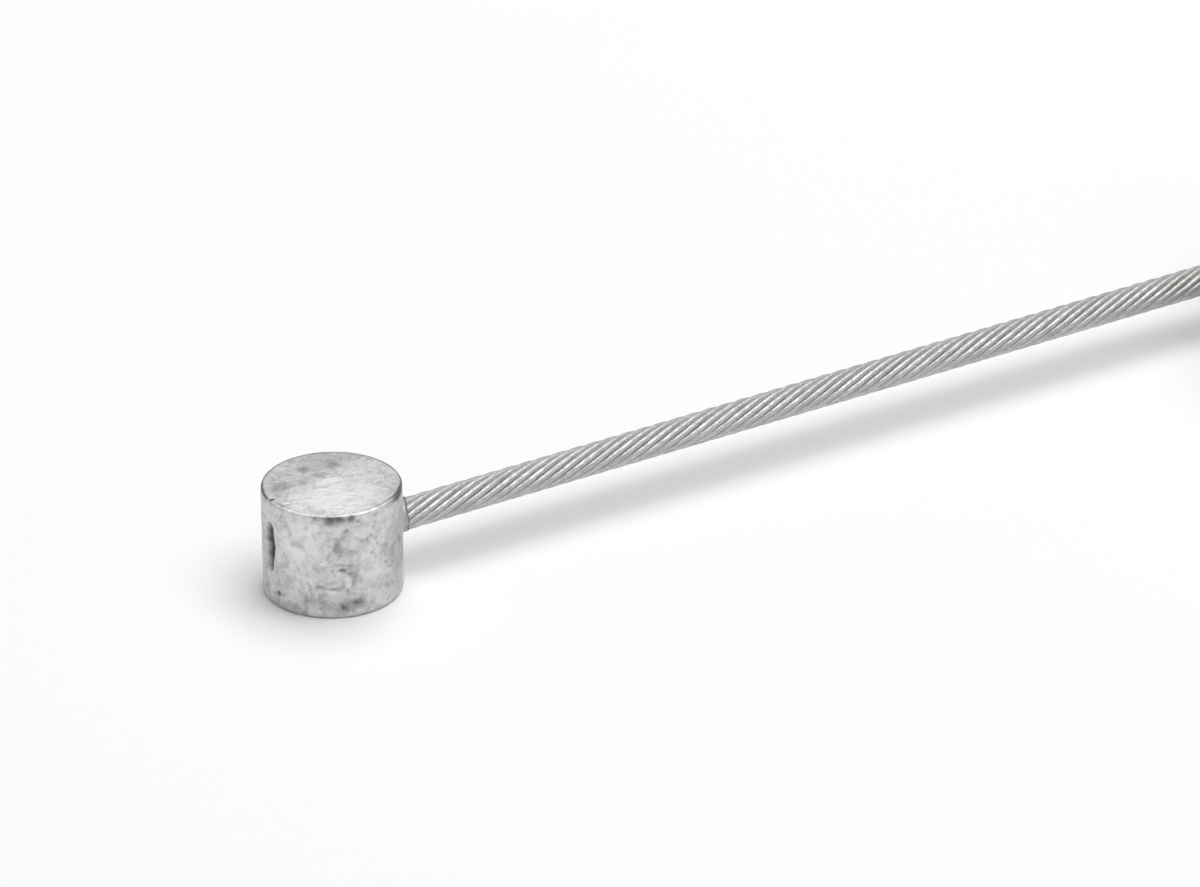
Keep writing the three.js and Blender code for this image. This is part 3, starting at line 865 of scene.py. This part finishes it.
def rounded_block(size, corner, steps):
    """A block with all its edges and corners rounded: the corners of a smaller block, each carrying
    its own eighth of a ball, up to just short of its pole. It is centred on the origin."""
    quarter = np.linspace(0, math.pi / 2, steps)
    turn = np.concatenate([quarter + side * math.pi / 2 for side in range(4)])
    side_x = np.repeat([1, -1, -1, 1], steps)
    side_y = np.repeat([1, 1, -1, -1], steps)
    lift = 0.97 * np.concatenate([quarter - math.pi / 2, quarter])[:, None]
    side_z = np.repeat([-1, 1], steps)[:, None]
    core = size / 2 - corner
    x = side_x * core[0] + corner * np.cos(lift) * np.cos(turn)
    y = side_y * core[1] + corner * np.cos(lift) * np.sin(turn)
    z = side_z * core[2] + corner * np.sin(lift) + 0 * turn
    return np.stack([x, y, z], axis=-1)


def cut_end_rings(length, width, thickness):
    """A strip along X with rounded sides: a circle, drawn out to its width and thickness, with its
    sine and cosine raised to a small power. The upper half has small teeth across it: over each
    pitch it falls evenly by the tooth's depth, as a share of its height, and then jumps back."""
    along = np.linspace(0, length, CUT_END_RINGS)
    tooth = 1 - TOOTH_DEPTH * (along / TOOTH_PITCH % 1)
    turn = np.linspace(0, 2 * math.pi, CUT_END_SIDES, endpoint=False)
    across = np.sign(np.cos(turn)) * np.abs(np.cos(turn)) ** CUT_END_SQUARENESS * width / 2
    rise = np.sign(np.sin(turn)) * np.abs(np.sin(turn)) ** CUT_END_SQUARENESS * thickness / 2
    up = np.where(rise > 0, rise * tooth[:, None], rise)
    return np.stack([along[:, None] + 0 * turn, across + 0 * up, up], axis=-1)


def nylon_material():
    """Natural nylon: warm white, a little cloudy, with a satin, faintly orange-peeled skin."""
    material, tree, shader = new_material("natural_nylon")
    place_on = place(tree, "ShaderNodeTexCoord", {}).outputs["Object"]
    cloudy = blotches(tree, place_on, 700.0, 0.3, 0.7)
    peel = blotches(tree, place_on, 3500.0, 0.3, 0.7, 1.0)
    tree.links.new(blend(tree, cloudy, CLEAR_NYLON, CLOUDY_NYLON), shader.inputs["Base Color"])
    tree.links.new(scaled(tree, peel, 0.1, 0.4), shader.inputs["Roughness"])
    raise_skin(tree, shader, peel, 0.3, 0.02 * MM)
    return material


def strap_rings(away, radius_axis, side_axis):
    """The strap's flat section, carried round the turns that it holds. In each direction its middle
    lies past the turn that reaches furthest that way, by as much as brings the outer face down to
    the floor under the lowest turns. Its points are radius, side and height."""
    under = (away @ radius_axis > 0) & (np.abs(away @ side_axis) < 0.6 * TIE_WIDTH)
    held = np.stack([away[under] @ radius_axis, away[under, 2]], axis=1)
    turn = np.linspace(2 * math.pi, 0, STRAP_STEPS, endpoint=False)
    outwards = np.stack([np.cos(turn), np.sin(turn)], axis=1)
    furthest = held[np.argmax(outwards @ held.T, axis=1)]
    line = furthest + (first_turn_height - TIE_THICKNESS / 2) * outwards
    corners = np.array([(-1, -1), (1, -1), (1, 1), (-1, 1)]) * (TIE_WIDTH / 2, TIE_THICKNESS / 2)
    section = rounded(corners, TIE_EDGE_RADIUS, STRAP_EDGE_STEPS)
    radial = line[:, None, 0] + section[:, 1] * outwards[:, None, 0]
    height = line[:, None, 1] + section[:, 1] * outwards[:, None, 1]
    return np.stack([radial, np.broadcast_to(section[:, 0], radial.shape), height], axis=-1)


def make_tie(number, angle):
    """One tie in its own upright plane through the coil's axis: the strap, and the lock and the cut
    end on its inner top."""
    radius_axis = np.array([math.cos(angle), math.sin(angle), 0])
    side_axis = np.array([-math.sin(angle), math.cos(angle), 0])

    def stand(points):
        """From the tie's own radius, side and height to the part's frame."""
        return points @ np.stack([radius_axis, side_axis, (0, 0, 1)]) + coil_centre

    strap = strap_rings(path - coil_centre, radius_axis, side_axis)
    inside = math.sqrt((inner_turn - strand_radius) ** 2 - (TIE_WIDTH / 2) ** 2) - TIE_GAP
    top = COIL_FLOOR + COIL_LAYERS * STRAND_DIAMETER + TIE_GAP
    lock = rounded_block(LOCK_SIZE, LOCK_CORNER, LOCK_CORNER_STEPS)
    lock += (inside + LOCK_SIZE[0] / 2, 0, top + LOCK_SIZE[2] / 2 + TIE_GAP / 2)
    cut_end = cut_end_rings(2 * CUT_END_LENGTH, CUT_END_WIDTH, CUT_END_THICKNESS)
    cut_end += (inside - CUT_END_LENGTH, 0, top + LOCK_SIZE[2] - CUT_END_THICKNESS)
    return [
        ring_skin(f"tie_strap_{number}", stand(strap), looped=True),
        ring_skin(f"tie_lock_{number}", stand(lock)),
        ring_skin(f"tie_cut_end_{number}", stand(cut_end)),
    ]


nylon = nylon_material()
climb_end = last_turn_angle - TAIL_CLIMB / outer_turn
first_tie = make_tie(1, climb_end - FIRST_TIE_TURNED)
second_tie = make_tie(2, climb_end - FIRST_TIE_TURNED + TIE_SPREAD)
for piece in first_tie + second_tie:
    piece.data.materials.append(nylon)
    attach(piece, "root")
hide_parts("coil_tie_1")
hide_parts("coil_tie_2")


# Studio: a wide white floor that fills the picture, one large soft lamp overhead and to the right,
# and a plain sky that is dimmer beyond the cable than behind the camera, so that the metal's far
# edges read dark against the white.
FLOOR_COLOUR = (0.97, 0.97, 0.97, 1)
FLOOR_REACH = 6.0
LAMP_WIDTH = 1.4
LAMP_DEPTH = 0.8
LAMP_POWER = 11.6
LAMP_PLACE = (0.31, 0.00, 1.03)
SKY_LEVEL = (0.46, 0.46, 0.46, 1)
DIM_SKY_LEVEL = (0.14, 0.14, 0.14, 1)
DIM_SKY_DIRECTION = (0.75, 0.66, 0.0)
DIM_SKY_STARTS = -0.6
DIM_SKY_FULL = 0.5

floor_mesh = bpy.data.meshes.new("floor")
floor_corners = FLOOR_REACH * np.array([(-1, -1, 0), (1, -1, 0), (1, 1, 0), (-1, 1, 0)])
floor_mesh.from_pydata(floor_corners.tolist(), [], [(0, 1, 2, 3)])
floor = bpy.data.objects.new("floor", floor_mesh)
bpy.context.scene.collection.objects.link(floor)
floor_material, _, floor_shader = new_material("white_floor")
floor_shader.inputs["Base Color"].default_value = FLOOR_COLOUR
floor_shader.inputs["Roughness"].default_value = 0.9
floor_shader.inputs["Specular IOR Level"].default_value = 0.0
floor.data.materials.append(floor_material)

lamp_data = bpy.data.lights.new("soft_lamp", "AREA")
lamp_data.shape = "RECTANGLE"
lamp_data.size = LAMP_WIDTH
lamp_data.size_y = LAMP_DEPTH
lamp_data.energy = LAMP_POWER
lamp = bpy.data.objects.new("soft_lamp", lamp_data)
lamp.location = LAMP_PLACE
lamp.rotation_mode = "QUATERNION"
lamp.rotation_quaternion = (-Vector(LAMP_PLACE)).to_track_quat("-Z", "Y")
lamp.visible_camera = False
bpy.context.scene.collection.objects.link(lamp)

world = bpy.data.worlds.new("sky")
world.use_nodes = True
bpy.context.scene.world = world
sky_tree = world.node_tree
sky_direction = place(sky_tree, "ShaderNodeTexCoord", {}).outputs["Generated"]
towards_dim = place(sky_tree, "ShaderNodeVectorMath", {0: sky_direction, 1: DIM_SKY_DIRECTION},
                    operation="DOT_PRODUCT").outputs["Value"]
dimmed = place(sky_tree, "ShaderNodeMapRange", {
    "Value": towards_dim, "From Min": DIM_SKY_STARTS, "From Max": DIM_SKY_FULL,
}, interpolation_type="SMOOTHSTEP").outputs[0]
sky = blend(sky_tree, dimmed, SKY_LEVEL, DIM_SKY_LEVEL)
sky_tree.links.new(sky, sky_tree.nodes["Background"].inputs["Color"])

bpy.context.scene.view_settings.view_transform = "Standard"
